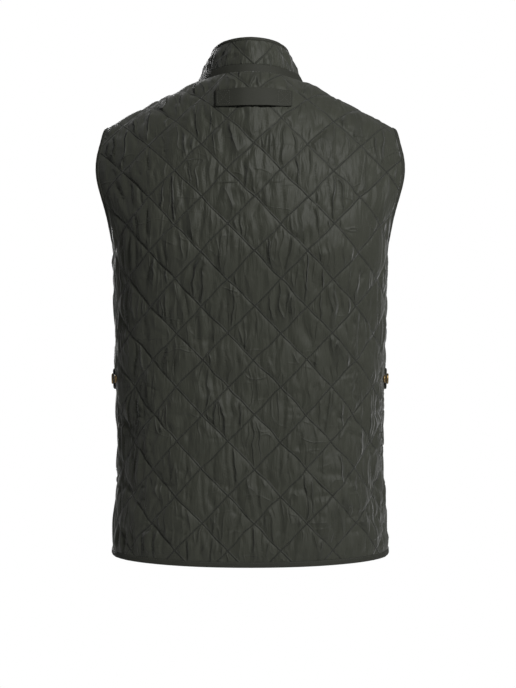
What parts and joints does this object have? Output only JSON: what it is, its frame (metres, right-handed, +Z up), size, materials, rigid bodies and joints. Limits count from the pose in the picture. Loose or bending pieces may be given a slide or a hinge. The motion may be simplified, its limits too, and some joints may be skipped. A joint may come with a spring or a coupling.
{
  "type": "diamond-quilted sleeveless vest with a stand collar and a front zip",
  "caption": "Worn-form diamond-quilted vest: stand collar, bound edges, front zip, snap waist tabs, hanging strip across the back yoke.",
  "frame": {"origin": "Between the two points where the shoulder seams meet the neck seam, where the wearer's shoulders hold the vest up.", "axes": "+Z up, +Y towards the back, so the front faces -Y, and +X towards the wearer's left."},
  "size_m": [0.4406, 0.2682, 0.7466],
  "materials": {
    "shell": "satin nylon, olive grey",
    "binding": "plain woven nylon binding",
    "zip_tape": "woven tape",
    "zip_teeth": "dark moulded teeth",
    "brass": "antique brass"
  },
  "bodies": {
    "vest": {"back": "shell", "front_left": "shell", "front_right": "shell", "neck_band": "shell", "collar": "shell", "collar_binding": "binding", "hem_binding": "binding", "armhole_binding_left": "binding", "armhole_binding_right": "binding", "front_binding_left": "binding", "front_binding_right": "binding", "zip_tape_left": "zip_tape", "zip_tape_right": "zip_tape", "zip_teeth_left": "zip_teeth", "zip_teeth_right": "zip_teeth", "zip_slider": "brass", "zip_stop": "brass", "hanging_strip": "binding", "side_tab_left": "binding", "side_tab_right": "binding", "tab_stud_left": "brass", "tab_stud_right": "brass", "spare_stud_left": "brass", "spare_stud_right": "brass"},
    "pull_tab": {"pull_tab": "brass"}
  },
  "joints": [
    {"name": "pull_swing", "type": "hinge", "parent": "vest", "child": "pull_tab", "pos_m": [0, -0.12475, -0.15258], "axis": [-1, 0, 0], "range_deg": [0, 150]}
  ]
}
